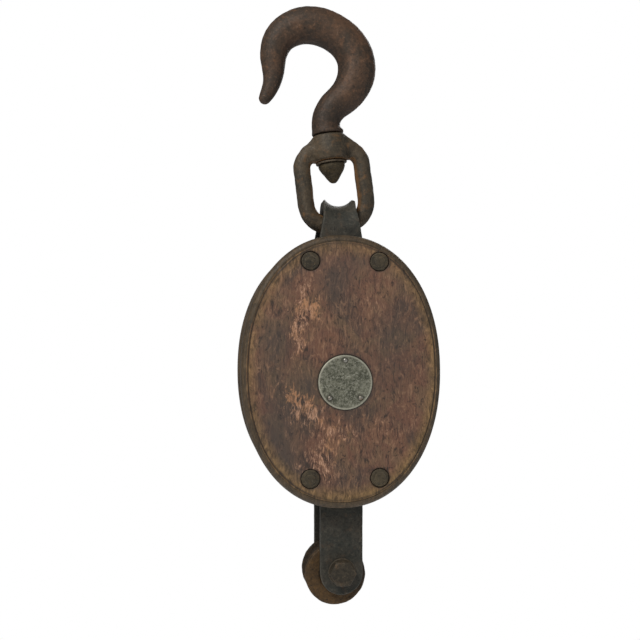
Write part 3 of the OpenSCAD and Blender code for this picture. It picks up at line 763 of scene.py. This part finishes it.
def front_rivets():
    """Peened ends on round burrs at the front of the four through rivets, and their rear heads."""
    face = OUTER_Y / MM
    floor = face - RIVET_RECESS_MM
    burrs, ends = [], []
    for i, x in enumerate(RIVET_X):
        for j, z in enumerate(RIVET_Z):
            centre = Vector((x, 0, z))
            r = BURR_R / MM - 0.15 * ((i + j) % 2)
            ring = fine([(4.0, face - 2.15), (r, face - 2.15), (r, face - 1.0), (r - 0.25, face - 0.62),
                         (r - 0.8, face - 0.5), (4.15, face - 0.5)], 0.5)
            v, f = turned_mesh(ring, centre, 72, closed=True)
            burrs.append(([(a, -b, c) for a, b, c in v], f))
            end = fine([(0.01, floor), (4.0, floor), (4.1, face - 0.5), (4.35, face - 0.2),
                        (3.9, face + 0.02), (2.6, face + 0.15), (0.2, face + 0.22)], 0.4)
            v, f = turned_mesh(end, centre, 56)
            ends.append(([(a, -b, c) for a, b, c in v], f))
            head = fine([(0.01, floor), (r, floor), (r, face - 0.9), (r - 0.5, face - 0.45),
                         (r - 2, face - 0.3), (0.2, face - 0.3)], 0.5)
            ends.append(turned_mesh(head, centre, 72))
    for name, parts, seed in (("rivet_burrs", burrs, 1), ("through_rivets", ends, 2)):
        data = mesh_from(*joined(parts))
        roughen(data, 0.35, 4.5, seed)
        dress(name, data, RIVET_IRON, "block")


# ---------------------------------------------------------------- forged and cast iron


def forged(name, paint, body, slot, voxel_mm, rounds, depth_mm, size_mm, seed, extra=None, **masks):
    """A worn, hammered copy of the CAD node of this name: rounded by so many smoothing rounds, then
    dented by depth_mm in marks of size_mm. Each mask is a function of the points and their normals."""
    data = softened(name, voxel_mm, rounds, extra)
    roughen(data, depth_mm, size_mm, seed)
    for key, shape in masks.items():
        set_mask(data, key, shape(points(data), normals(data)))
    dress(name, data, paint, body, 70)


EYE_LOW, EYE_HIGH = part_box("swivel_eye")


def eye_hollow(co, no):
    """Rust on the faces that look into the eye's window."""
    centre = np.array([(EYE_LOW.x + EYE_HIGH.x) / 2, 0, EYE_LOW.z + 0.45 * (EYE_HIGH.z - EYE_LOW.z)])
    inward = centre - co
    inward /= np.linalg.norm(inward, axis=1)[:, None]
    return np.clip((np.sum(no * inward, axis=1) - 0.35) / 0.4, 0, 1) * 0.8


SWIVEL = next(j for j in frame["joints"] if j["name"] == "hook_swivel")
SWIVEL_UP = Vector(SWIVEL["axis"]).normalized()
SWIVEL_AT = Vector(SWIVEL["pos_m"])
SHOULDER_UP_MM = 31.5
SHOULDER_HALF_MM = (25, 11.5, 9.5)


def eye_shoulders(builder):
    """Lens of iron that blends the eye's boss into its two arms. It also fills the boss's bore, which is
    open in the CAD node, so the hook's shank runs through it."""
    across = Vector((SWIVEL_UP.z, 0, -SWIVEL_UP.x))
    size = Matrix.Diagonal((*(half * MM for half in SHOULDER_HALF_MM), 1))
    turn = Matrix((across, (0, 1, 0), SWIVEL_UP)).transposed().to_4x4()
    place = Matrix.Translation(SWIVEL_AT + SWIVEL_UP * (SHOULDER_UP_MM * MM)) @ turn @ size
    bmesh.ops.create_uvsphere(builder, u_segments=48, v_segments=32, radius=1, matrix=place)


def hook_bowl_shade_neck_scale(co, no):
    """Painted shade inside the bowl, and dark scale round the neck."""
    inward = np.array([0, 0, -0.02]) - co
    inward /= np.linalg.norm(inward, axis=1)[:, None]
    bowl = np.clip((np.sum(no * inward, axis=1) - 0.1) / 0.7, 0, 1) * (co[:, 2] > -0.05)
    along = (co - np.array(SWIVEL_AT)) @ np.array(SWIVEL_UP) / MM
    neck = np.clip((74 - along) / 14, 0, 1)
    return np.maximum(0.95 * bowl, 0.85 * neck)


def spool_groove_shade_dark_rear(co, no):
    """Darker on the rear flange, and painted shade in the groove between the two."""
    groove = np.clip(1 - (np.hypot(co[:, 0] - SPOOL.x, co[:, 2] - SPOOL.z) - 0.016) / 0.004, 0, 1)
    return np.maximum(0.75 * np.clip(co[:, 1] / 0.006, 0, 1), 0.6 * groove * (np.abs(co[:, 1]) < 0.012))


def iron_work():
    """Hook, nut, washer, eye, strap and becket."""
    forged("hook", HOOK_IRON, "hook", "hook_iron", 0.9, 6, 0.5, 14, 11,
           dirt=hook_bowl_shade_neck_scale)
    forged("shank_nut", NUT_IRON, "hook", "hook_iron", 0.4, 4, 0.5, 5, 12)
    forged("shank_washer", EYE_IRON, "hook", "eye_iron", 0.35, 1, 0.1, 3, 13)
    forged("swivel_eye", EYE_IRON, "eye", "eye_iron", 0.7, 24, 0.6, 10, 14, eye_shoulders,
           hollow=eye_hollow)
    forged("strap", STRAP_IRON, "block", "strap_iron", 0.75, 4, 0.35, 12, 15)
    forged("becket_bolt", BECKET_IRON, "block", "becket_iron", 0.4, 8, 0.5, 5, 16)
    forged("becket_washers", BECKET_IRON, "block", "becket_iron", 0.35, 1, 0.15, 4, 17)
    forged("becket_nut", BECKET_IRON, "block", "becket_iron", 0.4, 3, 0.3, 5, 18)
    forged("becket_spool", SPOOL_IRON, "spool", "spool_iron", 0.55, 14, 0.5, 7, 19,
           dirt=spool_groove_shade_dark_rear)
    forged("sheave", SHEAVE_IRON, "sheave", "sheave_iron", 1.0, 3, 0.3, 8, 20)


def spacers():
    """The two wooden spacers between the cheeks."""
    for seed, name in enumerate(("upper_spacer", "lower_spacer")):
        data = softened(name, 0.9, 3)
        roughen(data, 0.3, 9, 30 + seed)
        dress(name, data, INNER_WOOD, "block")


def kept_nodes():
    """Inner steel that shows as CAD made it, under a better finish."""
    finishes = {
        "sheave_pin": BUSH_STEEL, "rear_plate_nails": NAIL_STEEL, "bush_case": BUSH_STEEL,
        "front_bush_cover": BUSH_STEEL, "rear_bush_cover": BUSH_STEEL, "bush_rivets": RIVET_IRON,
        "front_cage_ring": BUSH_STEEL, "rear_cage_ring": BUSH_STEEL, "cage_stays": BUSH_STEEL}
    finishes.update({f"roller_{i}": ROLLER_STEEL for i in range(1, 7)})
    for name, paint in finishes.items():
        node = frame["nodes"][name]
        for slot in node.material_slots:
            slot.material = paint


for cheek_side in (-1, 1):
    cheek(cheek_side)
pin_plate(-1, 0.4, "front_pin_plate")
pin_plate(1, -0.1, "rear_pin_plate")
front_nails()
front_rivets()
iron_work()
spacers()
kept_nodes()
